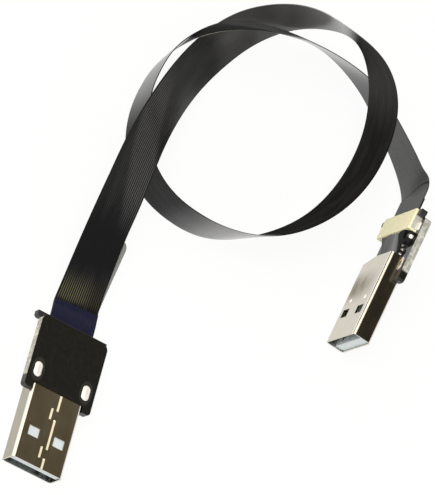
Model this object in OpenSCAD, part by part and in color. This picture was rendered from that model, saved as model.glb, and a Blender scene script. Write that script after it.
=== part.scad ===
// Flat flexible cable with a flat metal plug soldered to a small board at each end.
// The ribbon is loosely knotted. Plug A lies flat and plug B lies on its long side.
// Each plug has its own frame: X across, Y from the nose to the ribbon, Z from the
// plug's lower face to the back of its board.

/* [Plug shell] */
// Outside width of the folded metal shell
shell_w = 12; // [11.5:0.1:13]
// Outside height of the shell
shell_h = 4.5; // [4.3:0.1:5]
// Length of the shell's lower face, from nose to rear edge
shell_l = 20.4; // [19.5:0.1:22]
// Thickness of the sheet
sheet_t = 0.3; // [0.2:0.05:0.35]
// Outside radius of the four folds
fold_r = 0.7; // [0.5:0.05:0.9]
// Width of each latch window
window_w = 2.5; // [1.5:0.1:2.8]
// Length of each latch window
window_l = 2; // [1.5:0.1:2.4]
// Distance of a window's middle from the centre line
window_x = 3; // [2.7:0.1:3.4]
// Distance of a window's middle from the nose
window_y = 6.5; // [5.5:0.1:7]
// Width of each pressed dimple
dimple_d = 0.9; // [0.5:0.1:1.2]
// Distance of a dimple's middle from the nose
dimple_y = 9.6; // [9:0.1:11]
// Width of the slit where the two edges of the sheet meet
seam_gap = 0.12; // [0.08:0.02:0.2]
// Width of the slit across the ends of the seam's tabs
seam_end_gap = 0.05; // [0.03:0.01:0.08]
// Sideways reach of the seam's interlocking tabs
seam_tab_w = 1.2; // [0.8:0.1:1.4]
// Length of each seam tab at its wide end
seam_tab_l = 2.4; // [1.8:0.1:2.6]
// Width of the bright bevel along one side of the slit
seam_bevel = 0.4; // [0.2:0.05:0.5]
// Width of each leg that passes through the board
leg_w = 1.7; // [1.2:0.1:1.8]
// Distance of a leg's middle from the nose
leg_y = 19; // [18.8:0.1:19.2]
// Height of a leg above the back of the board
leg_proud = 0.35; // [0.2:0.05:0.6]

/* [Tongue and contacts] */
// Thickness of the insulating tongue
tongue_t = 1.9; // [1.7:0.1:2]
// Set-back of the tongue from the nose
tongue_back = 0.3; // [0.2:0.1:1]
// Depth of the mouth under the tongue
mouth_depth = 11.8; // [11:0.1:13]
// Width of each plug contact
contact_w = 1; // [0.8:0.1:1.2]
// Thickness of each plug contact
contact_t = 0.25; // [0.2:0.05:0.3]
// Distance of the outer pair of contacts from the centre line
contact_outer_x = 3.5; // [3.2:0.1:3.8]
// Distance of the inner pair of contacts from the centre line
contact_inner_x = 1; // [0.9:0.1:1.3]
// Set-back of the outer contacts from the tongue's tip
contact_tip = 1; // [0.6:0.1:1.6]
// Length of each contact's soldered tail along the board
contact_tail_l = 7.3; // [7:0.1:7.6]

/* [Board] */
// Width of the board
board_w = 16; // [15.6:0.1:17]
// Thickness of the board
board_t = 1.6; // [1.2:0.1:1.7]
// Distance of the board's front edge from the nose
board_front = 16.1; // [15.9:0.1:16.4]
// Length of the board from front edge to rear edge
board_l = 14.4; // [14.2:0.1:15.4]
// Radius of the board's rear corners
board_r = 1.4; // [0.8:0.1:2]
// Forward reach of the two ears beside the shell
ear_l = 1.3; // [0.9:0.1:2]
// Width of each leg slot
slot_w = 1.2; // [0.9:0.1:1.4]
// Length of each leg slot
slot_l = 2.4; // [2.2:0.1:2.6]
// Width of the solder domed over each leg
leg_solder_w = 1.8; // [1.6:0.1:2]
// Length of the solder domed over each leg
leg_solder_l = 3.2; // [2.8:0.1:3.4]

/* [Ribbon socket] */
// Width of the socket's housing
socket_w = 13.4; // [13:0.1:13.8]
// Depth of the socket's housing
socket_l = 4.9; // [4.6:0.1:5.2]
// Height of the socket above the board
socket_h = 2; // [1.9:0.05:2.2]
// Reach of the socket past the board's rear edge
socket_past = 1.1; // [0.9:0.1:1.3]
// Sideways shift of plug B's socket
socket_b_x = 0.5; // [0:0.1:0.6]
// Distance of the ribbon's middle from the board
ribbon_drop = 1; // [0.98:0.01:1.05]
// Overall width of the sliding lock
lock_w = 16.8; // [16.4:0.1:17.2]
// Depth of the lock's rear bar
lock_bar_l = 0.8; // [0.6:0.1:1]
// Travel of the lock from locked to open
lock_travel = 1; // [0.6:0.1:1]
// Number of conductors in the ribbon
conductors = 20; // [16:1:20]
// Spacing of the conductors
pitch = 0.5; // [0.45:0.01:0.5]

/* [Glue] */
// Length of the glue bead across the board
glue_l = 12; // [8:0.1:12.6]
// Radius of the glue bead
glue_r = 1.65; // [1.2:0.05:1.7]
// Distance of the bead's middle from the centre line
glue_x = -0.3; // [-0.4:0.1:0.4]

/* [Ribbon] */
// Width of the ribbon
ribbon_w = 10.5; // [9.5:0.1:10.6]
// Thickness of the ribbon
ribbon_t = 0.2; // [0.12:0.02:0.2]
// Thickness of the stiffener on each end
stiff_t = 0.2; // [0.1:0.02:0.2]
// Sideways reach of the backing strip past the ribbon's edge at its far end
strip_reach = 1.4; // [0.6:0.1:1.6]
// Thickness of the backing strip
strip_t = 0.2; // [0.1:0.05:0.3]

/* [Hidden] */
$fn = 32;
// Space between parts that slide or are put together
slide_gap = 0.05;
fit_gap = 0.1;
// Space left for the glue under a stuck-on strip
glue_gap = 0.02;
// Overlap that lets a cut run clear of a face
cut = 1;

inner_w = shell_w - 2 * sheet_t;
inner_top = shell_h - sheet_t;
tongue_low = inner_top - tongue_t;
seam_x = seam_tab_w / 2;
seam_flare = 0.2;
seam_bevel_depth = 0.8 * sheet_t;
seam_tab_y = [2, 10.4];
chamfer_w = 5;
chamfer_l = 1.4;
dimple_depth = 0.18;

// The board's parts side is its lower face, and its back is level with the shell
parts_z = shell_h - board_t;
board_rear = board_front + board_l;
ear_r = 0.7;
leg_x = (shell_w - sheet_t) / 2;

contact_z = tongue_low + slide_gap;
contact_xs = [-contact_outer_x, -contact_inner_x, contact_inner_x, contact_outer_x];
contact_step = 0.4;
contact_stagger = 1;
solder_r = 0.85;
solder_low = 0.4;

socket_rear = board_rear + socket_past;
socket_front = socket_rear - socket_l;
socket_low = parts_z - socket_h;
socket_roof = 0.35;
socket_floor = 0.3;
socket_front_wall = 0.6;
socket_floor_rear = board_rear + fit_gap;
slot_side_gap = 0.2;
ribbon_z = parts_z - ribbon_drop;
ribbon_face = ribbon_z - ribbon_t / 2;
pin_w = 0.25;
pin_t = 0.2;
pin_tail_l = 0.9;
pin_inset = 1;
pin_tip_l = 0.3;
pin_rise_l = 0.4;
tab_t = 0.2;
tab_foot_w = 0.5;
tab_foot_l = 2;
tab_inset_front = 0.4;
tab_inset_rear = 1;
tab_solder_r = 0.42;
lock_low = ribbon_z + ribbon_t / 2 + glue_gap + stiff_t + slide_gap;
lock_wedge_top = parts_z - socket_floor - slide_gap;
lock_ear_x = socket_w / 2 + tab_t + fit_gap;
lock_ear_l = 0.5;
lock_ear_h = 1.45;
lock_ear_bevel = 0.6;

// Place of plug A: the middle of its lower face is at the origin
plug_a_pos = [0, -10, 0];
// Place of plug B, which lies on its long side with its nose and a board ear down
plug_b_x = 59;
plug_b_y = 46.2;
plug_b_yaw = -8;
plug_b_pitch = 6.65;
plug_b_roll = -5;

function turn_x(p, a) = [p.x, p.y * cos(a) - p.z * sin(a), p.y * sin(a) + p.z * cos(a)];
function turn_y(p, a) = [p.x * cos(a) + p.z * sin(a), p.y, p.z * cos(a) - p.x * sin(a)];
function turn_z(p, a) = [p.x * cos(a) - p.y * sin(a), p.x * sin(a) + p.y * cos(a), p.z];
function turned_b(p) = turn_z(turn_x(turn_y(p, 90 + plug_b_roll), plug_b_pitch), plug_b_yaw);

// Plug B is lifted until the lowest of its round corners is on the table. Each corner is
// the middle of its arc, the arc's radius and the axis that the arc turns about.
low_corners = [
    [[shell_w / 2 - fold_r, 0, fold_r], fold_r, [0, 1, 0]],
    [[board_w / 2 - ear_r, board_front - ear_l + ear_r, parts_z], ear_r, [0, 0, 1]],
    [[board_w / 2 - ear_r, board_front - ear_l + ear_r, shell_h], ear_r, [0, 0, 1]],
    [[socket_b_x + lock_w / 2, socket_floor_rear + slide_gap + lock_bar_l, parts_z], 0, [0, 0, 1]]
];
function lowest_of(c) = turned_b(c[0]).z - c[1] * sqrt(1 - pow(turned_b(c[2]).z, 2));
plug_b_z = -min([for (c = low_corners) lowest_of(c)]);
plug_b_pos = [plug_b_x, plug_b_y, plug_b_z];
function in_a(p) = plug_a_pos + p;
function in_b(p) = plug_b_pos + turned_b(p);

// The ribbon's run between the plugs. Each point is [x, y, z, lean], and the lean is
// the angle of the ribbon's width from upright, so 90 lies flat and 180 stands on edge.
route = [
    [0, 26, 1.5, 90], [-0.5, 29, 3, 93], [-1.5, 35, 6.5, 97], [-2, 42.5, 9.5, 102],
    [-2, 49, 12, 101], [-2, 61, 15, 111], [7.5, 82.5, 5.5, 117], [16, 96.5, 2.5, 120],
    [21.5, 103, 4.5, 140], [27, 106.5, 8.5, 165], [33, 107.5, 12, 191], [38.5, 106, 15.5, 219],
    [44, 102, 17, 201], [48.5, 96, 17, 183], [51.5, 88.5, 14, 176], [51, 78, 11, 169],
    [46, 67, 8.5, 169], [36, 58, 6.5, 166], [25, 53.5, 5.5, 177], [15.5, 53.5, 5.5, 176],
    [7.5, 55.5, 5.5, 174], [1, 62, 5.5, 172], [-1.5, 71, 6.5, 169], [-1, 78, 8, 168],
    [0, 82.5, 9.5, 168], [2.5, 87, 11, 172], [8, 93, 12.5, 178], [19.5, 98.5, 11.5, 196],
    [26.5, 101, 10, 203], [38.5, 104.5, 7.5, 212], [50.5, 103, 5.5, 198], [56, 98.5, 5.5, 196],
    [60, 94.5, 6, 194], [64, 89, 7.5, 191], [66, 85, 8.5, 188]
];
// Where the stiff ends run straight: from inside the socket to well past the lock
ribbon_inset = 1.1;
ribbon_start = socket_front + ribbon_inset;
mouth_inset = 0.6;
lock_reach = lock_bar_l + lock_travel + mouth_inset;
straight_a = [ribbon_start, socket_rear - mouth_inset, socket_rear + lock_reach];
fold_b = socket_rear + 2 * lock_reach;
fold_l = 0.7;
straight_b = [fold_b + fold_l, fold_b, socket_rear + lock_reach, socket_rear - mouth_inset, ribbon_start];
end_a = [for (y = straight_a) let (p = in_a([0, y, ribbon_z])) [p.x, p.y, p.z, 90]];
end_b = [for (y = straight_b)
    let (p = in_b([socket_b_x, y, ribbon_z])) [p.x, p.y, p.z, 180 - plug_b_roll]];
controls = concat(end_a, route, end_b);
last = len(controls) - 1;
rings_per_span = 2;
ring_last = last * rings_per_span;
stiff_rings_a = 6;
stiff_rings_b = 5;
strip_rings = [6, 7, 8, 9, 10, 11, 11.5];
strip_last = len(strip_rings) - 1;
// Distance of a stuck-on film's inner face from the middle of the ribbon
film_gap = ribbon_t / 2 + glue_gap;
strip_gap = ribbon_t / 2 + slide_gap;

// Smooth curve through the run of control points, with straight run-outs at both ends
function control(i) =
    i < 0 ? 2 * controls[0] - controls[1]
    : i > last ? 2 * controls[last] - controls[last - 1]
    : controls[i];
function span(ring) = min(floor(ring / rings_per_span), last - 1);
function curve(ring) =
    let (i = span(ring), t = ring / rings_per_span - i)
    (pow(1 - t, 3) * control(i - 1) + (3 * pow(t, 3) - 6 * t * t + 4) * control(i)
        + (3 * t * t - 3 * pow(t, 3) + 3 * t + 1) * control(i + 1) + pow(t, 3) * control(i + 2)) / 6;
function slope(ring) =
    let (i = span(ring), t = ring / rings_per_span - i)
    (-pow(1 - t, 2) * control(i - 1) + (3 * t * t - 4 * t) * control(i)
        + (1 + 2 * t - 3 * t * t) * control(i + 1) + t * t * control(i + 2)) / 2;
function xyz(v) = [v[0], v[1], v[2]];
function unit(v) = v / norm(v);

// Four corners of a flat strip's section: from edge left to edge right across the
// ribbon, and from level low to level high through its thickness
function section(ring, left, right, low, high) =
    let (
        c = curve(ring),
        along = unit(xyz(slope(ring))),
        up = unit([0, 0, 1] - along.z * along),
        across = cos(c[3]) * up + sin(c[3]) * cross(along, up),
        face = cross(across, along),
        middle = xyz(c)
    )
    [for (q = [[left, low], [right, low], [right, high], [left, high]])
        middle + q[0] * across + q[1] * face];

module swept_strip(sections) {
    n = len(sections);
    // The two wide faces are split along the same diagonal, so stacked strips stay apart
    sides = [for (i = [0 : n - 2], k = [0 : 3])
        let (a = 4 * i + k, b = 4 * i + (k + 1) % 4)
        each k == 2 ? [[a, a + 4, b + 4], [a, b + 4, b]] : [[a, a + 4, b], [b, a + 4, b + 4]]];
    e = 4 * (n - 1);
    caps = [[0, 1, 2], [0, 2, 3], [e, e + 2, e + 1], [e, e + 3, e + 2]];
    polyhedron([for (s = sections) each s], concat(sides, caps));
}

// Flat shapes and simple solids that the pieces share
module rounded_rectangle(w, h, r) {
    translate([-w / 2 + r, 0]) square([w - 2 * r, h]);
    translate([-w / 2, r]) square([w, h - 2 * r]);
    for (x = [r - w / 2, w / 2 - r], y = [r, h - r]) translate([x, y]) circle(r);
}

module slot_outline(w, l) {
    square([w, l - w], center = true);
    for (y = [-1, 1]) translate([0, y * (l - w) / 2]) circle(w / 2);
}

// Extrudes a shape drawn in X and Z along Y
module along_y(from, l) translate([0, from + l, 0]) rotate([90, 0, 0]) linear_extrude(l) children();

// Extrudes a shape drawn in Y and Z along X, about the middle
module along_x(l) translate([-l / 2, 0, 0]) rotate([90, 0, 90]) linear_extrude(l) children();

// A box given by its low and high corners
module block(low, high) translate(low) cube(high - low);

// A rod with round ends along Y
module capsule(r, l) {
    rotate([90, 0, 0]) cylinder(r = r, h = l, center = true);
    for (y = [-l / 2, l / 2]) translate([0, y, 0]) sphere(r);
}

// Straight cut of the seam from one point to the next, narrower where it runs sideways
module seam_cut(p, q) {
    d = q - p;
    gap = d.x == 0 ? seam_gap : seam_end_gap;
    translate(p) rotate(atan2(d.y, d.x)) translate([0, -gap / 2]) square([norm(d), gap]);
}

module seam_outline() {
    tabs = [for (y = seam_tab_y) each [
        [seam_x, y + seam_flare], [-seam_x, y], [-seam_x, y + seam_tab_l],
        [seam_x, y + seam_tab_l - seam_flare]
    ]];
    path = concat([[seam_x, -cut]], tabs, [[seam_x, board_front + cut]]);
    for (i = [0 : len(path) - 2]) seam_cut(path[i], path[i + 1]);
}

// Bevel on the right-hand edge of each straight run of the seam
module seam_bevels() {
    runs = [
        [seam_x, -cut, seam_tab_y[0] + seam_flare],
        [-seam_x, seam_tab_y[0], seam_tab_y[0] + seam_tab_l],
        [seam_x, seam_tab_y[0] + seam_tab_l - seam_flare, seam_tab_y[1] + seam_flare],
        [-seam_x, seam_tab_y[1], seam_tab_y[1] + seam_tab_l],
        [seam_x, seam_tab_y[1] + seam_tab_l - seam_flare, board_front]
    ];
    for (r = runs) along_y(r[1], r[2] - r[1]) translate([r[0] + seam_gap / 2 - fit_gap, shell_h])
        polygon([[0, -seam_bevel_depth], [fit_gap, -seam_bevel_depth], [fit_gap + seam_bevel, 0],
            [fit_gap + seam_bevel, cut], [0, cut]]);
}

module shell_tube() {
    difference() {
        along_y(0, shell_l) rounded_rectangle(shell_w, shell_h, fold_r);
        along_y(-cut, shell_l + 2 * cut) translate([0, sheet_t])
            rounded_rectangle(inner_w, shell_h - 2 * sheet_t, fold_r - sheet_t);
    }
}

// Folded sheet: windows in both wide faces, a tabbed seam in the upper face, pressed
// dimples in the lower face, and one leg on each side that passes through the board
module plug_shell() color([0.72, 0.7, 0.64]) {
    difference() {
        shell_tube();
        for (x = [-window_x, window_x])
            translate([x - window_w / 2, window_y - window_l / 2, -cut])
                cube([window_w, window_l, shell_h + 2 * cut]);
        translate([0, 0, inner_top - sheet_t]) linear_extrude(2 * sheet_t + cut) seam_outline();
        seam_bevels();
        block([-shell_w, board_front - fit_gap, parts_z - fit_gap], [shell_w, shell_l + cut, shell_h + cut]);
        translate([0, 0, -cut]) linear_extrude(sheet_t + 2 * cut)
            polygon([[shell_w / 2 - chamfer_w, shell_l], [shell_w / 2 - chamfer_w, shell_l + cut],
                [shell_w / 2 + cut, shell_l + cut], [shell_w / 2 + cut, shell_l - chamfer_l],
                [shell_w / 2, shell_l - chamfer_l]]);
        for (x = [-window_x, window_x])
            translate([x, dimple_y, dimple_depth - dimple_d]) sphere(dimple_d);
    }
    for (x = [-leg_x, leg_x])
        block([x - sheet_t / 2, leg_y - leg_w / 2, parts_z - leg_w],
            [x + sheet_t / 2, leg_y + leg_w / 2, shell_h + leg_proud]);
}

// Moulded insulator: the tongue above the mouth and the block that closes the mouth
module plug_tongue() color([0.82, 0.87, 0.9]) {
    rear = board_front - fit_gap;
    half = inner_w / 2 - slide_gap;
    difference() {
        union() {
            block([-half, tongue_back, tongue_low], [half, rear, inner_top]);
            block([-half, mouth_depth, sheet_t], [half, rear, inner_top]);
        }
        for (x = contact_xs) {
            block([x - contact_w / 2, contact_front(x), tongue_low - cut],
                [x + contact_w / 2, mouth_depth, contact_z + contact_t]);
            block([x - contact_w / 2, contact_front(x), contact_z],
                [x + contact_w / 2, rear + cut, contact_z + contact_t]);
        }
        for (x = [-1, 1])
            block([x * half - fold_r / 2, -cut, inner_top - fold_r / 2],
                [x * half + fold_r / 2, rear + cut, inner_top + cut]);
        for (x = [-1, 1])
            block([x * half - fold_r / 2, -cut, sheet_t - cut],
                [x * half + fold_r / 2, rear + cut, sheet_t + fold_r / 2]);
    }
}

// The outer pair of contacts reaches further forward than the inner pair
function contact_front(x) = tongue_back + contact_tip + (abs(x) < contact_outer_x ? contact_stagger : 0);

// Four stamped strips that step up to the board and lie along it
module plug_contacts() color([0.83, 0.68, 0.33]) {
    step_y = board_front + fit_gap;
    tail_y = step_y + contact_step;
    tail_low = parts_z - contact_t;
    for (x = contact_xs)
        translate([x, 0, 0]) along_x(contact_w) polygon([
            [contact_front(x), contact_z], [step_y, contact_z], [tail_y, tail_low],
            [board_front + contact_tail_l, tail_low], [board_front + contact_tail_l, parts_z],
            [tail_y - contact_t / 2, parts_z], [step_y - contact_t / 2, contact_z + contact_t],
            [contact_front(x), contact_z + contact_t]
        ]);
}

// Solder over the end of each contact's tail
module contact_solder() color([0.8, 0.81, 0.82]) {
    tail_end = board_front + contact_tail_l;
    bead_l = 1.6;
    for (x = contact_xs) difference() {
        translate([x, tail_end - bead_l / 2, parts_z + solder_low]) capsule(solder_r, bead_l);
        block([x - 2 * solder_r, 0, parts_z], [x + 2 * solder_r, board_rear, parts_z + 2 * solder_r]);
        block([x - contact_w / 2, 0, parts_z - contact_t], [x + contact_w / 2, tail_end, parts_z + cut]);
    }
}

module board_outline() {
    half = board_w / 2;
    ear_in = shell_w / 2 + fit_gap;
    translate([-half, board_front]) square([board_w, board_l - board_r]);
    translate([board_r - half, board_front]) square([board_w - 2 * board_r, board_l]);
    for (x = [board_r - half, half - board_r]) translate([x, board_rear - board_r]) circle(board_r);
    for (side = [0, 1]) mirror([side, 0]) {
        translate([ear_in, board_front - ear_l]) square([half - ear_r - ear_in, ear_l + ear_r]);
        translate([ear_in, board_front - ear_l + ear_r]) square([half - ear_in, ear_l]);
        translate([half - ear_r, board_front - ear_l + ear_r]) circle(ear_r);
    }
}

// Circuit board with two slots for the shell's legs and an ear beside each side of the shell
module plug_board() color([0.09, 0.09, 0.1])
    translate([0, 0, parts_z]) linear_extrude(board_t) difference() {
        board_outline();
        for (x = [-leg_x, leg_x]) translate([x, leg_y]) slot_outline(slot_w, slot_l);
    }

// Solder that fills each leg slot, domes over the leg and rings it on the parts side
module leg_solder() color([0.86, 0.86, 0.85]) {
    ring_t = 0.12;
    dome_h = 0.45;
    dome_r = (leg_solder_w * leg_solder_w / 4 + dome_h * dome_h) / (2 * dome_h);
    for (x = [-leg_x, leg_x]) difference() {
        union() {
            translate([x, leg_y, parts_z]) linear_extrude(board_t) slot_outline(slot_w, slot_l);
            difference() {
                translate([x, leg_y, shell_h + dome_h - dome_r])
                    capsule(dome_r, leg_solder_l - leg_solder_w);
                block([x - 2 * dome_r, leg_y - leg_solder_l, 0],
                    [x + 2 * dome_r, leg_y + leg_solder_l, shell_h]);
            }
            translate([x, leg_y, parts_z - ring_t]) linear_extrude(ring_t)
                slot_outline(leg_solder_w, leg_solder_l);
        }
        block([x - sheet_t / 2, leg_y - leg_w / 2, 0],
            [x + sheet_t / 2, leg_y + leg_w / 2, shell_h + leg_proud]);
        block([x - sheet_t, leg_y - leg_solder_l, 0],
            [x + sheet_t, leg_y + leg_solder_l, parts_z - fit_gap]);
    }
}

function pin_x(i) = (i - (conductors - 1) / 2) * pitch;

// Moulded socket: open at the rear for the ribbon and the lock, slotted for its pins
module ribbon_socket() color([0.9, 0.88, 0.78]) {
    half = socket_w / 2;
    mouth = ribbon_w / 2 + slot_side_gap;
    difference() {
        block([-half, socket_front, socket_low], [half, socket_rear, parts_z]);
        block([-mouth, socket_front + socket_front_wall, socket_low + socket_roof],
            [mouth, socket_rear + cut, parts_z - socket_floor]);
        for (i = [0 : conductors - 1])
            block([pin_x(i) - pin_w / 2, socket_front - cut, socket_low + socket_roof],
                [pin_x(i) + pin_w / 2, socket_front + socket_front_wall + cut, parts_z + cut]);
        block([-half - cut, socket_floor_rear, lock_low - slide_gap],
            [half + cut, socket_rear + cut, parts_z + cut]);
    }
}

// Stamped pins: a tail on the board, a back in the front wall and a sprung arm along the roof
module socket_pins() color([0.84, 0.8, 0.66]) {
    roof = socket_low + socket_roof;
    back = socket_front + slide_gap;
    arm_end = socket_rear - pin_inset;
    touch_end = arm_end - pin_tip_l;
    touch = ribbon_face - glue_gap;
    for (i = [0 : conductors - 1])
        translate([pin_x(i), 0, 0]) along_x(pin_w - glue_gap) polygon([
            [socket_front - pin_tail_l, parts_z], [socket_front - pin_tail_l, parts_z - pin_t],
            [back, parts_z - pin_t], [back, roof], [arm_end, roof], [arm_end, roof + pin_t],
            [touch_end, touch], [touch_end - pin_tip_l, touch],
            [touch_end - pin_tip_l - pin_rise_l, roof + pin_t],
            [back + 1.5 * pin_t, roof + pin_t], [back + 1.5 * pin_t, parts_z]
        ]);
}

// Bead of hard black glue against the front of the socket, on top of some of its pins
module glue_bead() color([0.05, 0.05, 0.055]) {
    base = parts_z - pin_t - glue_gap;
    difference() {
        translate([glue_x, socket_front, base]) rotate(90) capsule(glue_r, glue_l - 2 * glue_r);
        block([-board_w, socket_front, base - shell_h], [board_w, board_rear, base + shell_h]);
        block([-board_w, board_front, base], [board_w, board_rear, base + shell_h]);
    }
}

// Metal tab on each end of the socket, with a foot on the board
module socket_tabs() color([0.82, 0.82, 0.8]) {
    front = socket_front + tab_inset_front;
    for (side = [0, 1]) mirror([side, 0, 0]) {
        block([socket_w / 2, front, socket_low + socket_roof],
            [socket_w / 2 + tab_t, socket_rear - tab_inset_rear, parts_z]);
        block([socket_w / 2, front, parts_z - tab_t],
            [socket_w / 2 + tab_t + tab_foot_w, front + tab_foot_l, parts_z]);
    }
}

// Solder bead along each tab's foot
module tab_solder() color([0.88, 0.88, 0.86]) {
    front = socket_front + tab_inset_front;
    bead_x = socket_w / 2 + tab_t + tab_solder_r;
    for (side = [0, 1]) mirror([side, 0, 0]) difference() {
        translate([bead_x, front + tab_foot_l / 2, parts_z])
            capsule(tab_solder_r, tab_foot_l - 2 * tab_solder_r);
        block([socket_w / 2, socket_front, parts_z - tab_t],
            [socket_w / 2 + tab_t + tab_foot_w, socket_rear, parts_z]);
        block([0, 0, parts_z], [board_w, board_rear + cut, shell_h]);
    }
}

// Sliding lock: a wedge under the stiff end of the ribbon, a rear bar and two ears to pull
module ribbon_lock() color([0.1, 0.1, 0.11]) {
    bar_front = socket_floor_rear + slide_gap;
    bar_rear = bar_front + lock_bar_l;
    half = ribbon_w / 2 + slot_side_gap - fit_gap;
    block([-half, ribbon_start + 2 * pin_t, lock_low], [half, bar_rear, lock_wedge_top]);
    block([-lock_w / 2, bar_front, lock_low], [lock_w / 2, bar_rear, parts_z - fit_gap]);
    for (side = [0, 1]) mirror([side, 0, 0]) difference() {
        block([lock_ear_x, bar_rear - lock_ear_l - lock_bar_l, parts_z - fit_gap - lock_ear_h],
            [lock_w / 2, bar_rear, parts_z - fit_gap]);
        translate([lock_w / 2, bar_rear - lock_ear_l - lock_bar_l, 0]) rotate(45)
            cube([lock_ear_bevel, lock_ear_bevel, 4 * shell_h], center = true);
    }
}

// Flat cable from one socket to the other
module flat_ribbon() color([0.08, 0.08, 0.09])
    swept_strip([for (i = [0 : ring_last])
        section(i, -ribbon_w / 2, ribbon_w / 2, -ribbon_t / 2, ribbon_t / 2)]);

// Stiffener on the board side of the ribbon's end in plug A, which is its upper face there
module stiffener_strip_a() color([0.1, 0.13, 0.36])
    swept_strip([for (i = [0 : stiff_rings_a])
        section(i, -ribbon_w / 2, ribbon_w / 2, film_gap, film_gap + stiff_t)]);

// Stiffener on the board side of the ribbon's end in plug B, which is its other face
module stiffener_strip_b() color([0.1, 0.13, 0.36])
    swept_strip([for (i = [ring_last - stiff_rings_b : ring_last])
        section(i, -ribbon_w / 2, ribbon_w / 2, -film_gap - stiff_t, -film_gap)]);

// Strip stuck a little askew to the ribbon's under face beside plug A
module askew_strip() color([0.72, 0.72, 0.72])
    swept_strip([for (i = strip_rings)
        let (reach = strip_reach * (i - strip_rings[0]) / (strip_rings[strip_last] - strip_rings[0]))
        section(i, 0, ribbon_w / 2 + reach, -strip_gap - strip_t, -strip_gap)]);

module at_a() translate(plug_a_pos) children();
module at_b() translate(plug_b_pos) rotate([plug_b_pitch, 0, plug_b_yaw])
    rotate([0, 90 + plug_b_roll, 0]) children();
module at_socket_b() at_b() translate([socket_b_x, 0, 0]) children();

module shell_a() at_a() plug_shell();
module tongue_a() at_a() plug_tongue();
module contacts_a() at_a() plug_contacts();
module contact_solder_a() at_a() contact_solder();
module board_a() at_a() plug_board();
module leg_solder_a() at_a() leg_solder();
module socket_a() at_a() ribbon_socket();
module socket_pins_a() at_a() socket_pins();
module socket_tabs_a() at_a() socket_tabs();
module tab_solder_a() at_a() tab_solder();
module glue_a() at_a() glue_bead();
module lock_a() at_a() ribbon_lock();
module stiffener_a() stiffener_strip_a();
module shell_b() at_b() plug_shell();
module tongue_b() at_b() plug_tongue();
module contacts_b() at_b() plug_contacts();
module contact_solder_b() at_b() contact_solder();
module board_b() at_b() plug_board();
module leg_solder_b() at_b() leg_solder();
module socket_b() at_socket_b() ribbon_socket();
module socket_pins_b() at_socket_b() socket_pins();
module socket_tabs_b() at_socket_b() socket_tabs();
module tab_solder_b() at_socket_b() tab_solder();
module glue_b() at_socket_b() glue_bead();
module lock_b() at_socket_b() ribbon_lock();
module stiffener_b() stiffener_strip_b();
module ribbon() flat_ribbon();
module backing_strip() askew_strip();

shell_a();
tongue_a();
contacts_a();
contact_solder_a();
board_a();
leg_solder_a();
socket_a();
socket_pins_a();
socket_tabs_a();
tab_solder_a();
glue_a();
lock_a();
stiffener_a();
shell_b();
tongue_b();
contacts_b();
contact_solder_b();
board_b();
leg_solder_b();
socket_b();
socket_pins_b();
socket_tabs_b();
tab_solder_b();
glue_b();
lock_b();
stiffener_b();
ribbon();
backing_strip();
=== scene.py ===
import math

import bpy
import numpy as np
from mathutils import Matrix, Vector


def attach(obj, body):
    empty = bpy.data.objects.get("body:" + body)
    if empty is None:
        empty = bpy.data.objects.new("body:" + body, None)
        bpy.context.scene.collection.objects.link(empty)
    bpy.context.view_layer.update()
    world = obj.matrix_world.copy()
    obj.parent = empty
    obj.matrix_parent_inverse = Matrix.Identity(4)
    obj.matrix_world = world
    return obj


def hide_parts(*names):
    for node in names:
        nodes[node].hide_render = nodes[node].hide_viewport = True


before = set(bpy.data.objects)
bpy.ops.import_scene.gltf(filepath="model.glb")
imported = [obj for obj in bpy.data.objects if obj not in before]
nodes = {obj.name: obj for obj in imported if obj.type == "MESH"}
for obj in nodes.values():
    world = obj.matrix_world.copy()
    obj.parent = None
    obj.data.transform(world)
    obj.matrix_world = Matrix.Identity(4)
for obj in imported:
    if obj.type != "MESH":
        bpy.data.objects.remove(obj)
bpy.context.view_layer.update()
scene = bpy.context.scene

# Camera. A long lens 0.85 m away looks down on the cable from the lower left, turned so
# that plug A points to the lower left of the picture.
camera = bpy.data.objects.new("camera", bpy.data.cameras.new("camera"))
scene.collection.objects.link(camera)
camera.data.lens = 309.9
camera.data.sensor_width = 36
camera.data.clip_end = 20
look_right = Vector((0.78613, 0.23519, 0.57157))
look_up = Vector((-0.42600, 0.87620, 0.22537))
look_back = Vector((-0.44780, -0.42066, 0.78900))
turn = Matrix((look_right, look_up, look_back)).transposed()
camera.matrix_world = Matrix.Translation((-0.36374, -0.31448, 0.69152)) @ turn.to_4x4()
scene.camera = camera
scene.view_settings.view_transform = "Standard"

# Places of the two plugs. Each has its own frame: X across, Y from the nose to the ribbon
# and Z to the back of its board. Plug A lies flat and plug B lies on its long side.
plug_frames = {
    "a": Matrix.Translation((0, -0.010, 0)),
    "b": Matrix.Translation((0.059, 0.0462, 0.005879))
    @ Matrix.Rotation(math.radians(-8), 4, "Z")
    @ Matrix.Rotation(math.radians(6.65), 4, "X")
    @ Matrix.Rotation(math.radians(85), 4, "Y"),
}

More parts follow.
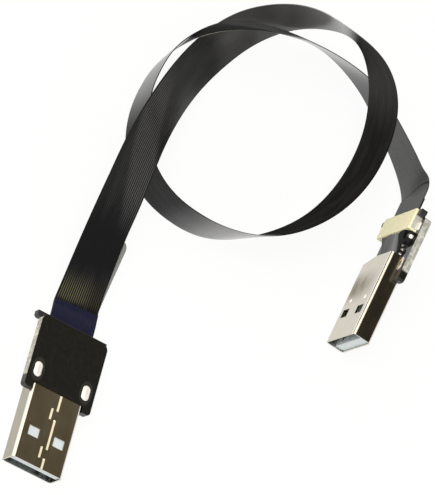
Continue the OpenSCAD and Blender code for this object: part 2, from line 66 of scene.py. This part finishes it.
# Ribbon. Twenty flat conductors laminated between two black films, 10.5 mm wide and 0.2 mm
# thick. It runs from one socket to the other through a loose knot. Each point of the run is
# x, y and z in metres and the lean of the ribbon's width from upright in degrees.
ribbon_run = [
    (0, 0.026, 0.0015, 90), (-0.0005, 0.029, 0.003, 93), (-0.0015, 0.035, 0.0065, 97),
    (-0.002, 0.0425, 0.0095, 102), (-0.002, 0.049, 0.012, 101), (-0.002, 0.061, 0.015, 111),
    (0.0075, 0.0825, 0.0055, 117), (0.016, 0.0965, 0.0025, 120), (0.0215, 0.103, 0.0045, 140),
    (0.027, 0.1065, 0.0085, 165), (0.033, 0.1075, 0.012, 191), (0.0385, 0.106, 0.0155, 219),
    (0.044, 0.102, 0.017, 201), (0.0485, 0.096, 0.017, 183), (0.0515, 0.0885, 0.014, 176),
    (0.051, 0.078, 0.011, 169), (0.046, 0.067, 0.0085, 169), (0.036, 0.058, 0.0065, 166),
    (0.025, 0.0535, 0.0055, 177), (0.0155, 0.0535, 0.0055, 176), (0.0075, 0.0555, 0.0055, 174),
    (0.001, 0.062, 0.0055, 172), (-0.0015, 0.071, 0.0065, 169), (-0.001, 0.078, 0.008, 168),
    (0, 0.0825, 0.0095, 168), (0.0025, 0.087, 0.011, 172), (0.008, 0.093, 0.0125, 178),
    (0.0195, 0.0985, 0.0115, 196), (0.0265, 0.101, 0.010, 203), (0.0385, 0.1045, 0.0075, 212),
    (0.0505, 0.103, 0.0055, 198), (0.056, 0.0985, 0.0055, 196), (0.060, 0.0945, 0.006, 194),
    (0.064, 0.089, 0.0075, 191), (0.066, 0.085, 0.0085, 188),
]
ribbon_w = 0.0105
ribbon_t = 0.0002
half_w = ribbon_w / 2
half_t = ribbon_t / 2
ribbon_level = 0.0019
shift_b = 0.0005
run_a = [(*(plug_frames["a"] @ Vector((0, y, ribbon_level))), 90) for y in (0.0278, 0.031, 0.034)]
run_b = [
    (*(plug_frames["b"] @ Vector((shift_b, y, ribbon_level))), 185)
    for y in (0.0371, 0.0364, 0.034, 0.031, 0.0278)
]
controls = np.array(run_a + ribbon_run + run_b)
controls = np.vstack([2 * controls[0] - controls[1], controls, 2 * controls[-1] - controls[-2]])
spans = len(controls) - 3


def strip_frames(places):
    """Middle, across and face directions of the ribbon at places from 0 to spans."""
    first = np.minimum(places.astype(int), spans - 1)
    t = (places - first)[:, None]
    c0, c1, c2, c3 = (controls[first + k] for k in range(4))
    point = ((1 - t) ** 3 * c0 + (3 * t**3 - 6 * t**2 + 4) * c1
             + (3 * t + 3 * t**2 - 3 * t**3 + 1) * c2 + t**3 * c3) / 6
    slope = (-((1 - t) ** 2) * c0 + (3 * t**2 - 4 * t) * c1
             + (1 + 2 * t - 3 * t**2) * c2 + t**2 * c3)[:, :3]
    along = slope / np.linalg.norm(slope, axis=1)[:, None]
    up = np.array([0, 0, 1.0]) - along[:, 2:] * along
    up /= np.linalg.norm(up, axis=1)[:, None]
    lean = np.radians(point[:, 3])[:, None]
    across = np.cos(lean) * up + np.sin(lean) * np.cross(along, up)
    return point[:, :3], across, np.cross(across, along)


def strip_mesh(name, places, left, right, low, high, columns=12):
    """A flat strip along the ribbon. Its UV map is metres across and metres along."""
    middle, across, face = strip_frames(places)
    along = np.concatenate([[0], np.cumsum(np.linalg.norm(np.diff(middle, axis=0), axis=1))])
    left = np.broadcast_to(left, along.shape)
    right = np.broadcast_to(right, along.shape)
    share = np.linspace(0, 1, columns + 1)
    side = left[:, None] + (right - left)[:, None] * share
    side = np.hstack([side, side[:, ::-1]])
    level = np.repeat([high, low], columns + 1)
    points = middle[:, None] + side[:, :, None] * across[:, None] + level[None, :, None] * face[:, None]
    ring = 2 * columns + 2
    faces = []
    for i in range(len(places) - 1):
        for k in range(ring):
            n = (k + 1) % ring
            faces.append((i * ring + k, i * ring + n, (i + 1) * ring + n, (i + 1) * ring + k))
    end = (len(places) - 1) * ring
    faces.append(tuple(range(ring))[::-1])
    faces.append(tuple(range(end, end + ring)))
    mesh = bpy.data.meshes.new(name)
    mesh.from_pydata(points.reshape(-1, 3).tolist(), [], faces)
    layer = mesh.uv_layers.new(name="strip")
    for loop in mesh.loops:
        i, k = divmod(loop.vertex_index, ring)
        layer.data[loop.index].uv = (side[i, k], along[i])
    mesh.shade_smooth()
    mesh.set_sharp_from_angle(angle=math.radians(50))
    made = bpy.data.objects.new(name, mesh)
    scene.collection.objects.link(made)
    return made


class Wire:
    """A socket in a node tree. Arithmetic on wires adds Math nodes."""

    def __init__(self, tree, socket=None):
        self.tree = tree
        self.socket = socket

    @classmethod
    def material(cls, name):
        """A new material, with its tree ready for wires."""
        made = bpy.data.materials.new(name)
        made.use_nodes = True
        wire = cls(made.node_tree)
        wire.owner = made
        return wire

    def add(self, kind, inputs=None, out=0, **settings):
        """Adds any node, sets it up, feeds its inputs and gives one of its outputs."""
        node = self.tree.nodes.new(kind)
        for name, value in settings.items():
            setattr(node, name, value)
        for name, value in (inputs or {}).items():
            self.feed(node.inputs[name], value)
        return Wire(self.tree, node.outputs[out])

    def feed(self, socket, value):
        """Links a wire to a socket, or sets the socket to a plain value."""
        if isinstance(value, Wire):
            self.tree.links.new(value.socket, socket)
        else:
            socket.default_value = value

    def surface(self, inputs):
        """Feeds the material's main shader."""
        shader = self.tree.nodes["Principled BSDF"]
        for name, value in inputs.items():
            self.feed(shader.inputs[name], value)

    def maths(self, operation, first, second=0.0):
        return self.add("ShaderNodeMath", {0: first, 1: second}, operation=operation)

    def __add__(self, other):
        return self.maths("ADD", self, other)

    def __radd__(self, other):
        return self.maths("ADD", other, self)

    def __sub__(self, other):
        return self.maths("SUBTRACT", self, other)

    def __rsub__(self, other):
        return self.maths("SUBTRACT", other, self)

    def __mul__(self, other):
        return self.maths("MULTIPLY", self, other)

    def __rmul__(self, other):
        return self.maths("MULTIPLY", other, self)

    def __abs__(self):
        return self.maths("ABSOLUTE", self)

    def larger(self, other):
        """This or other, whichever is more."""
        return self.maths("MAXIMUM", self, other)

    def between(self, low, high, to_low=0.0, to_high=1.0):
        """A smooth step from to_low to to_high as this goes from low to high."""
        return self.add(
            "ShaderNodeMapRange",
            {"Value": self, "From Min": low, "From Max": high, "To Min": to_low, "To Max": to_high},
            interpolation_type="SMOOTHSTEP",
        )

    def colour(self, none, full):
        """The colour none where this is 0, and full where it is 1."""
        return self.add("ShaderNodeMix", {0: self, 6: none, 7: full}, out=2, data_type="RGBA")

    def stretched(self, x, y, z):
        """This vector with its three parts scaled."""
        return self.add("ShaderNodeVectorMath", {0: self, 1: (x, y, z)}, operation="MULTIPLY")

    def dot(self, direction):
        """How far this vector goes along a direction."""
        return self.add(
            "ShaderNodeVectorMath", {0: self, 1: direction}, out="Value", operation="DOT_PRODUCT"
        )

    def part(self, index):
        return self.add("ShaderNodeSeparateXYZ", {0: self}, out=index)

    def noise(self, scale, detail):
        return self.add("ShaderNodeTexNoise", {"Vector": self, "Scale": scale, "Detail": detail})

    def bump(self, distance, strength):
        """A normal from this height, with the full height as distance in metres."""
        return self.add("ShaderNodeBump", {"Height": self, "Distance": distance, "Strength": strength})


ribbon = strip_mesh("ribbon_film", np.linspace(0, spans, 700), -half_w, half_w, -half_t, half_t)
wire = Wire.material("black_ribbon")
strip = wire.add("ShaderNodeUVMap", uv_map="strip").stretched(1000, 1000, 0)
across = strip.part(0)
along = strip.part(1)
film = strip.stretched(0.5, 0.08, 0).noise(1.0, 5.0)
grain = strip.stretched(16, 0.4, 0).noise(1.0, 2.0)
# The conductors show through the film as fine lines, 0.5 mm apart and none at the edges. All
# places are in millimetres across from the middle and along from plug A's socket.
conductor_pitch = 0.5
wave = across * (2 * math.pi / conductor_pitch)
conductor = 0.5 - wave.maths("COSINE", wave) * 0.5
edge = abs(across).between(4.85, 5.05)
line = conductor * conductor * (1 - edge)
thin_line = line * line
film_black = (0.006, 0.006, 0.007, 1)
faint_line = (0.032, 0.032, 0.031, 1)
calm = along.between(15, 18) * along.between(30, 24)
shown = film.between(0.35, 0.65, 0.15, 1.0) * (1 - calm)
plain = (line * shown * 0.8 + grain * 0.2).colour(film_black, faint_line)
# They stand out on a slanting stretch of the first run, and look gilt beside plug A.
raised_line = (0.10, 0.10, 0.099, 1)
drift = along * 0.33 + across
raised = along.between(24, 34) * along.between(70, 56)
raised = raised * drift.between(10.2, 12.2) * drift.between(20.0, 18.0)
plain = (thin_line * raised).colour(plain, raised_line)
gilt_black = (0.008, 0.008, 0.006, 1)
gilt_line = (0.16, 0.15, 0.095, 1)
gilt = (thin_line * across.between(3.5, -0.5, 0.3, 1.0)).colour(gilt_black, gilt_line)
bare = along.between(8.5, 10) * along.between(16, 11)
# A painted highlight: one edge gets a pale strip where the second pass crosses the main run.
edge_highlight_colour = (0.82, 0.79, 0.64, 1)
edge_highlight = across.between(4.6, 4.72) * along.between(236, 242) * along.between(272, 266)
# Clear lacquer, worn off in places. Each step is where it starts and ends along the ribbon
# in millimetres and what it adds to the lacquer. A painted sheen goes by steps too: it
# lightens the film's colour towards white where reflections would be.
lacquer = 0.12
for first, last, change in (
    (45, 75, 0.55), (88, 93, -0.2), (98, 104, 0.5), (113, 118, -0.95), (173, 178, 0.95),
    (192, 200, -0.65), (215, 226, 0.65), (237, 240, -0.8), (246, 252, -0.05), (264, 270, 0.85),
    (314, 318, -0.35),
):
    lacquer = along.between(first, last, 0.0, change) + lacquer
# The painted sheen: steps that lighten the film's colour in place of reflections.
painted_sheen = 0.0
for first, last, change in (
    (28, 36, 0.006), (50, 60, 0.014), (80, 88, 0.04), (96, 101, 0.04), (102, 109, 0.12),
    (113, 118, -0.19), (125, 140, -0.03), (174, 179, 0.2), (181, 187, -0.06), (187, 194, -0.14),
    (240, 244, 0.025), (256, 264, -0.025), (264, 270, 0.1), (282, 290, -0.1), (300, 306, 0.02),
):
    painted_sheen = along.between(first, last, 0.0, change) + painted_sheen
# The pinched crease behind plug B's socket runs a little aslant across the ribbon. Along it a dark line
# of painted shade is drawn by taking away the painted sheen and the lacquer.
crease_at = 317.8
crease_slant = 0.2
off_line = across * crease_slant + along - crease_at
crease_shade = abs(off_line).between(0.2, 0.06) * across.between(4, -3, 0.4, 0.65)
painted_sheen = painted_sheen * (1 - crease_shade)
lacquer = lacquer * (1 - crease_shade)
sheened_film = painted_sheen.colour(bare.colour(plain, gilt), (1, 1, 1, 1))
wire.surface({
    "Base Color": edge_highlight.colour(sheened_film, edge_highlight_colour),
    "Roughness": 0.32 + film * 0.16,
    "Specular IOR Level": 0.0,
    "Coat Weight": lacquer - line * 0.1,
    "Coat Roughness": 0.16,
    "Coat IOR": 1.5,
    "Normal": (line * 0.5 + film * 0.4 + grain * 0.1).bump(0.00002, 0.5),
})
ribbon.data.materials.append(wire.owner)
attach(ribbon, "cable")
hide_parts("ribbon")
centreline = strip_frames(np.linspace(0, spans, 300))[0]

# Stiffeners. A strip of thicker blue film stuck to the board side of each end of the
# ribbon, so that the end can be pushed into its socket.
wire = Wire.material("blue_stiffener")
strip = wire.add("ShaderNodeUVMap", uv_map="strip").stretched(1000, 1000, 0)
weave = strip.stretched(3, 0.6, 0).noise(1.0, 4.0)
wire.surface({
    "Base Color": weave.colour((0.006, 0.0065, 0.021, 1), (0.011, 0.0125, 0.038, 1)),
    "Roughness": 0.22 + weave * 0.2,
    "Specular IOR Level": 0.3,
    "Normal": weave.bump(0.00002, 0.5),
})
stiffener_near = 0.00012
stiffener_far = 0.00032
for end, first, last, side in (("a", 0, 3, 1), ("b", spans - 2.5, spans, -1)):
    levels = sorted([side * stiffener_near, side * stiffener_far])
    stiffener = strip_mesh(
        "stiffener_film_" + end, np.linspace(first, last, 60), -half_w, half_w, *levels
    )
    stiffener.data.materials.append(wire.owner)
    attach(stiffener, "cable")
    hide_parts("stiffener_" + end)

# Backing strip. Grey film stuck a little askew under the ribbon beside plug A, so that it
# shows past the ribbon's right edge towards its rounded end.
strip_start = 3
strip_end = 5.75
round_from = 5.5
most_shown = 0.0014
tucked = 0.0004
places = np.linspace(strip_start, strip_end, 90)
reach = (places - strip_start) / (strip_end - strip_start) * most_shown
rounding = ((places - round_from) / (strip_end - round_from)).clip(0)
rounding = np.sqrt(np.clip(1 - rounding**2, 0, 1))
strip_edge = half_w - tucked + (reach + tucked) * rounding
backing = strip_mesh("backing_film", places, 0.0, strip_edge, -0.00035, -0.00015)
wire = Wire.material("grey_strip")
strip = wire.add("ShaderNodeUVMap", uv_map="strip").stretched(1000, 1000, 0)
cloud = strip.noise(0.8, 4.0)
wire.surface({
    "Base Color": cloud.colour((0.15, 0.155, 0.145, 1), (0.24, 0.245, 0.23, 1)),
    "Roughness": 0.35 + cloud * 0.2,
    "Normal": cloud.bump(0.00002, 0.4),
})
backing.data.materials.append(wire.owner)
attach(backing, "cable")
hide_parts("backing_strip")

for end, place in plug_frames.items():
    # Each plug's materials read its own frame in millimetres, so grain and marks follow it.
    def begin(name):
        """A new material for this plug, and its coordinates in the plug's frame."""
        fresh = Wire.material(name + "_" + end)
        local = fresh.add(
            "ShaderNodeMapping",
            {
                "Vector": fresh.add("ShaderNodeTexCoord", out="Object"),
                "Location": place.to_translation(),
                "Rotation": place.to_euler("XYZ"),
            },
            vector_type="TEXTURE",
        )
        return fresh, local.stretched(1000, 1000, 1000)

    def dress(name, material):
        """Gives one of this plug's solids its material."""
        node = nodes[name + "_" + end]
        node.data.materials.clear()
        node.data.materials.append(material)

    # Shell. Thin steel folded to a flat tube and plated with bright nickel. Painted light is in
    # its colour: painted highlights on the folds and on two pressed dimples, painted shade on
    # the side walls and the inside, and a darker low face with a dark patch of painted
    # reflection. Its two legs are soldered into slots in the board.
    wire, local = begin("plated_shell")
    lines = local.stretched(9, 0.35, 9).noise(1.0, 3.0)
    smear = local.stretched(0.35, 0.2, 0.35).noise(1.0, 4.0)
    x, y, z = (local.part(index) for index in range(3))
    beside = abs(x)
    # Painted shade: the inside of the shell is darker.
    inside_shade = beside.between(5.75, 5.705) * z.between(0.25, 0.295) * z.between(4.25, 4.205)
    # Painted shade and highlight by facing: side walls darker, the folds near white.
    side_axis = place.to_3x3() @ Vector((1, 0, 0))
    aslant = abs(wire.add("ShaderNodeNewGeometry", out="Normal").dot(side_axis))
    wall_shade = aslant.between(0.975, 0.998)
    low_fold_highlight = x.between(-5.1, -5.4) * z.between(0.3, 0.1) * aslant.between(0.9, 0.6)
    fold_highlight = low_fold_highlight.larger(aslant.between(0.1, 0.3) * beside.between(5.1, 5.4))
    # Painted highlight: the two pressed dimples are near white and less metallic.
    dimple_x = 3.0
    dimple_y = 9.6
    off_x = beside - dimple_x
    off_y = y - dimple_y
    dimple_highlight = (off_x * off_x + off_y * off_y).between(0.30, 0.20) * z.between(0.25, 0.2)
    # Painted light: darker where z is low, with a broad dark patch of painted reflection.
    dark_reflection_patch = y.between(8.0, 12.5) * y.between(18.0, 13.0) * x.between(-6.0, 1.5)
    dark_reflection = z.between(2.5, 1.5) * (0.18 + dark_reflection_patch * (0.52 + smear.between(0.35, 0.65, 0.0, 0.3)))
    nickel = smear.colour((0.66, 0.61, 0.51, 1), (0.80, 0.76, 0.67, 1))
    nickel = dark_reflection.colour(nickel, (0.15, 0.13, 0.06, 1))
    nickel = fold_highlight.colour(nickel, (0.97, 0.95, 0.92, 1))
    wall_shade_colour = lines.colour((0.34, 0.31, 0.25, 1), (0.52, 0.48, 0.40, 1))
    nickel = inside_shade.colour(wall_shade.colour(nickel, wall_shade_colour), (0.40, 0.41, 0.40, 1))
    wire.surface({
        "Base Color": dimple_highlight.colour(nickel, (0.97, 0.95, 0.90, 1)),
        "Metallic": 1.0 - dimple_highlight * 0.8,
        "Roughness": 0.08 + smear * 0.14 + lines * 0.05 + dimple_highlight * 0.3,
        "Normal": (lines + smear).bump(0.00001, 0.5),
    })
    dress("shell", wire.owner)

    # Tongue. Pale moulded plastic that carries the contacts and closes the mouth. It is
    # pushed into the shell from behind.
    wire, local = begin("pale_insulator")
    flow = local.noise(0.7, 4.0)
    wire.surface({
        "Base Color": flow.colour((0.52, 0.59, 0.63, 1), (0.66, 0.71, 0.73, 1)),
        "Roughness": 0.38 + flow * 0.2,
        "Normal": local.noise(6.0, 2.0).bump(0.00001, 0.4),
    })
    dress("tongue", wire.owner)

    # Contacts. Four stamped strips that lie on the tongue, gold flashed where they touch and
    # worn along the middle. Their tails are soldered to the board.
    wire, local = begin("gold_contact")
    worn = local.stretched(3, 0.3, 3).noise(1.0, 3.0)
    wire.surface({
        "Base Color": worn.colour((0.72, 0.52, 0.20, 1), (0.86, 0.72, 0.42, 1)),
        "Metallic": 1.0,
        "Roughness": 0.2 + worn * 0.2,
        "Normal": worn.bump(0.00001, 0.5),
    })
    dress("contacts", wire.owner)

    # Solder. Bright metal in the leg slots and on the tabs' feet, set with a slightly uneven
    # skin. On the parts side of the board a dark spot of painted shade stands in the middle of
    # each leg's ring, where the hole lies in shade.
    wire, local = begin("solder")
    skin = local.noise(2.2, 4.0)
    x, y, z = (local.part(index) for index in range(3))
    leg_x = 5.85
    leg_y = 19.0
    off_x = (abs(x) - leg_x) * 2.4
    off_y = (y - leg_y) * 1.3
    hole_shade = (off_x * off_x + off_y * off_y).between(1.3, 0.7) * z.between(2.9, 2.8)
    bright = skin.colour((0.84, 0.82, 0.75, 1), (0.97, 0.95, 0.90, 1))
    wire.surface({
        "Base Color": hole_shade.colour(bright, (0.05, 0.05, 0.03, 1)),
        "Metallic": (0.25 + skin * 0.2) * (1 - hole_shade),
        "Roughness": 0.16 + skin * 0.2 + hole_shade * 0.6,
        "Normal": skin.bump(0.00006, 0.7),
    })
    dress("leg_solder", wire.owner)
    dress("tab_solder", wire.owner)

    # Contact solder. The same metal on the contacts' tails, dulled by flux and by a skin of
    # the glue that lies next to it.
    wire, local = begin("stained_solder")
    skin = local.noise(1.6, 4.0)
    wire.surface({
        "Base Color": skin.between(0.4, 0.6).colour((0.05, 0.05, 0.05, 1), (0.55, 0.53, 0.48, 1)),
        "Metallic": 0.35 + skin * 0.2,
        "Roughness": 0.16 + skin * 0.3,
        "Normal": skin.bump(0.00006, 0.7),
    })
    dress("contact_solder", wire.owner)

    # Board. Glass laminate 1.6 mm thick under a glossy black mask. Buried tracks raise the
    # mask a little. The cut edges are bare laminate, but black along the front ears.
    wire, local = begin("black_board")
    x, y = (local.part(index) for index in range(2))
    back_axis = place.to_3x3() @ Vector((0, 0, 1))
    flat = abs(wire.add("ShaderNodeNewGeometry", out="Normal").dot(back_axis))
    rim = flat.between(0.7, 0.5) * y.between(16.8, 17.4)
    layers = local.stretched(0.3, 0.3, 7).noise(1.0, 2.0)
    mask = local.noise(0.9, 4.0)
    tracks = local.stretched(0.3, 0.3, 0).noise(1.0, 0.0)
    tracks = tracks.between(0.44, 0.46) * tracks.between(0.54, 0.52)
    off_x = abs(x) - leg_x
    off_y = (y - leg_y) * 0.6
    pad = off_x * off_x + off_y * off_y
    ring = pad.between(0.9, 1.4) * pad.between(2.6, 2.0)
    black = mask.colour((0.007, 0.007, 0.006, 1), (0.014, 0.014, 0.013, 1))
    black = (tracks * 0.06 + ring * 0.6).colour(black, (0.034, 0.034, 0.031, 1))
    chips = local.noise(1.3, 4.0).between(0.4, 0.7)
    laminate = (layers * 0.6 + chips * 0.5).colour((0.18, 0.18, 0.165, 1), (0.62, 0.62, 0.58, 1))
    wire.surface({
        "Base Color": rim.colour(black, laminate),
        "Roughness": 0.14 + mask * 0.1 + rim * 0.45,
        "Specular IOR Level": 0.0,
        "Coat Weight": 0.9 - rim * 0.9,
        "Coat Roughness": 0.08,
        "Normal": (mask * 0.3 + tracks * 0.7 + ring * 0.8 + layers * rim).bump(0.00012, 0.6),
    })
    dress("board", wire.owner)

    # Ribbon socket. Cream moulded housing, open at the rear for the ribbon. Its pins and end
    # tabs hold it to the board.
    wire, local = begin("cream_housing")
    flow = local.noise(1.1, 4.0)
    wire.surface({
        "Base Color": flow.colour((0.82, 0.78, 0.50, 1), (0.92, 0.89, 0.64, 1)),
        "Roughness": 0.4 + flow * 0.2,
        "Normal": local.noise(7.0, 2.0).bump(0.00001, 0.4),
    })
    dress("socket", wire.owner)

    # Socket pins and end tabs. Stamped spring metal with a satin tin plate. They are pressed
    # into the housing and soldered to the board.
    wire, local = begin("tin_pin")
    plate = local.noise(3.0, 3.0)
    wire.surface({
        "Base Color": plate.colour((0.70, 0.69, 0.64, 1), (0.88, 0.87, 0.82, 1)),
        "Metallic": 0.35 + plate * 0.2,
        "Roughness": 0.25 + plate * 0.2,
        "Normal": plate.bump(0.00001, 0.5),
    })
    dress("socket_pins", wire.owner)
    dress("socket_tabs", wire.owner)

    # Glue. Hard black glue laid against the front of the socket. On one half it stands in round
    # drops over the end contact, and on the other it runs down in a thin sheet.
    glue_left = -0.0068
    glue_right = 0.0058
    glue_front = 0.0208
    glue_rear = 0.02668
    glue_x, glue_y = np.meshgrid(
        np.linspace(glue_left, glue_right, 141), np.linspace(glue_front, glue_rear, 73)
    )
    sheet_left = -0.0042
    sheet_tall = 0.00165
    run = np.clip((glue_y - glue_front) / 0.0058, 0, 1)
    sheet = sheet_tall * run**1.3 * np.sqrt(np.clip((glue_x - sheet_left) / 0.003, 0, 1))
    sheet *= np.sqrt(np.clip((glue_right - glue_x) / 0.0012, 0, 1))
    sheet *= 1 + 0.08 * np.sin(glue_x * 1500 + glue_y * 700)
    height = sheet**4
    for middle_x, middle_y, wide, long, tall in (
        (-0.0042, 0.0263, 0.0024, 0.0025, 0.0018), (-0.0038, 0.0247, 0.0021, 0.0032, 0.00028),
        (-0.0036, 0.0238, 0.0010, 0.0008, 0.0009), (-0.0041, 0.0227, 0.0010, 0.0008, 0.0009),
        (-0.0037, 0.0217, 0.0010, 0.0008, 0.0009),
    ):
        drop = 1 - ((glue_x - middle_x) / wide) ** 2 - ((glue_y - middle_y) / long) ** 2
        height += (tall * np.sqrt(np.clip(drop, 0, 1))) ** 4
    height = height**0.25
    height *= np.sqrt(np.clip((glue_y - glue_front) / 0.0007, 0, 1))
    skin_level = 0.00289
    board_level = 0.002895
    top = np.stack([glue_x, glue_y, skin_level - height], axis=2)
    top[:, :, 0] += shift_b if end == "b" else 0.0
    rows, columns = glue_x.shape
    low = top.copy()
    low[:, :, 2] = board_level
    points = np.vstack([top.reshape(-1, 3), low.reshape(-1, 3)])
    shift = rows * columns
    faces = []
    for i in range(rows - 1):
        for k in range(columns - 1):
            corner = i * columns + k
            faces.append((corner, corner + columns, corner + columns + 1, corner + 1))
            under = (corner, corner + 1, corner + columns + 1, corner + columns)
            faces.append(tuple(shift + n for n in under))
    border = list(range(columns))
    border += [i * columns + columns - 1 for i in range(1, rows)]
    border += [(rows - 1) * columns + k for k in range(columns - 2, -1, -1)]
    border += [i * columns for i in range(rows - 2, 0, -1)]
    for n, m in zip(border, border[1:] + border[:1]):
        faces.append((n, m, shift + m, shift + n))
    mesh = bpy.data.meshes.new("glue_run_" + end)
    mesh.from_pydata([place @ Vector(point) for point in points], [], faces)
    mesh.shade_smooth()
    mesh.set_sharp_from_angle(angle=math.radians(60))
    glue = bpy.data.objects.new("glue_run_" + end, mesh)
    scene.collection.objects.link(glue)
    # The sheet is glossy and breaks up towards its front. The drops are glossy in spots.
    wire, local = begin("black_glue")
    skin = local.noise(0.6, 2.0)
    x, y, z = (local.part(index) for index in range(3))
    clear = x.between(-2.2, -1.2) * x.between(4.0, -1.2, 0.45, 1.0)
    comb = local.stretched(0.9, 0.15, 0).noise(1.0, 1.0).between(0.42, 0.55)
    clear = clear * (1 - y.between(22.8, 21.4) * comb)
    shine = 0.1 + clear.larger(z.between(2.865, 2.885) * 0.6) * 0.8
    for spot_x, spot_y, spread in (
        (-5.9, 25.5, 0.25), (-4.0, 23.6, 0.15), (-4.5, 22.6, 0.15), (-4.1, 21.5, 0.15),
    ):
        off_x = x - spot_x
        off_y = y - spot_y
        shine = shine + (off_x * off_x + off_y * off_y).between(spread, spread / 3)
    wire.surface({
        "Base Color": skin.colour((0.004, 0.004, 0.005, 1), (0.009, 0.009, 0.010, 1)),
        "Roughness": 0.06 + skin * 0.12,
        "Specular IOR Level": 0.0,
        "Coat Weight": shine.maths("MINIMUM", shine, 1.0),
        "Coat Roughness": 0.06,
        "Coat IOR": 2.5,
        "Normal": skin.bump(0.0003, 0.6),
    })
    mesh.materials.append(wire.owner)
    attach(glue, "cable")
    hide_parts("glue_" + end)

    # Sliding lock. Black moulded plastic with a satin skin, pushed home behind the ribbon. It
    # slides out of the housing to let the ribbon go.
    wire, local = begin("black_lock")
    skin = local.noise(1.5, 4.0)
    wire.surface({
        "Base Color": skin.colour((0.010, 0.010, 0.011, 1), (0.022, 0.022, 0.023, 1)),
        "Roughness": 0.35 + skin * 0.2,
        "Normal": local.noise(6.0, 2.0).bump(0.00001, 0.4),
    })
    dress("lock", wire.owner)

# Floor. A pale plain table just under the plugs. It fades to white for the camera and in
# reflections, and keeps a faint shadow.
floor_half = 3
floor_mesh = bpy.data.meshes.new("floor")
floor_mesh.from_pydata(
    [(x * floor_half, y * floor_half, 0) for x, y in ((-1, -1), (1, -1), (1, 1), (-1, 1))],
    [], [(0, 1, 2, 3)],
)
floor = bpy.data.objects.new("floor", floor_mesh)
floor.location.z = -0.0001
scene.collection.objects.link(floor)
wire = Wire.material("floor")
shown = wire.add("ShaderNodeLightPath", out="Is Camera Ray")
for kind in ("Is Glossy Ray", "Is Transmission Ray"):
    shown = shown.larger(wire.add("ShaderNodeLightPath", out=kind))
matt = wire.add("ShaderNodeBsdfDiffuse", {"Color": (0.9, 0.9, 0.89, 1)})
white = wire.add("ShaderNodeEmission", {"Color": (1, 1, 1, 1), "Strength": 1.0})
blend = wire.add("ShaderNodeMixShader", {0: shown * 0.92, 1: matt, 2: white})
wire.feed(wire.tree.nodes["Material Output"].inputs["Surface"], blend)
floor_mesh.materials.append(wire.owner)

# Room. A bright wall low behind on the left, a dark ceiling above and to the right, and an
# even pale grey elsewhere.
world = bpy.data.worlds.new("room")
scene.world = world
world.use_nodes = True
wire = Wire(world.node_tree)
ray = wire.add("ShaderNodeTexCoord", out="Generated")
upward = ray.dot((0.27, 0.24, 0.93))
toward_wall = ray.dot((-0.789, 0.42, 0.448))
room = toward_wall.between(0.3, 0.8).colour((0.8, 0.79, 0.77, 1), (1.2, 1.09, 0.88, 1))
room = upward.between(0.83, 0.93).colour(room, (0.125, 0.10, 0.06, 1))
room = upward.between(0.96, 0.99).colour(room, (0.040, 0.037, 0.028, 1))
wire.feed(world.node_tree.nodes["Background"].inputs["Color"], room)

# Lamp. One soft square panel above the camera's left side, turned to the middle of the
# cable.
panel = bpy.data.lights.new("panel", "AREA")
panel.shape = "SQUARE"
panel.size = 0.6
panel.energy = 6
lamp = bpy.data.objects.new("panel", panel)
lamp.location = (-0.45, -0.1, 0.8)
cable_middle = Vector((0.03, 0.05, 0))
lamp.rotation_mode = "QUATERNION"
lamp.rotation_quaternion = (lamp.location - cable_middle).to_track_quat("Z", "Y")
scene.collection.objects.link(lamp)
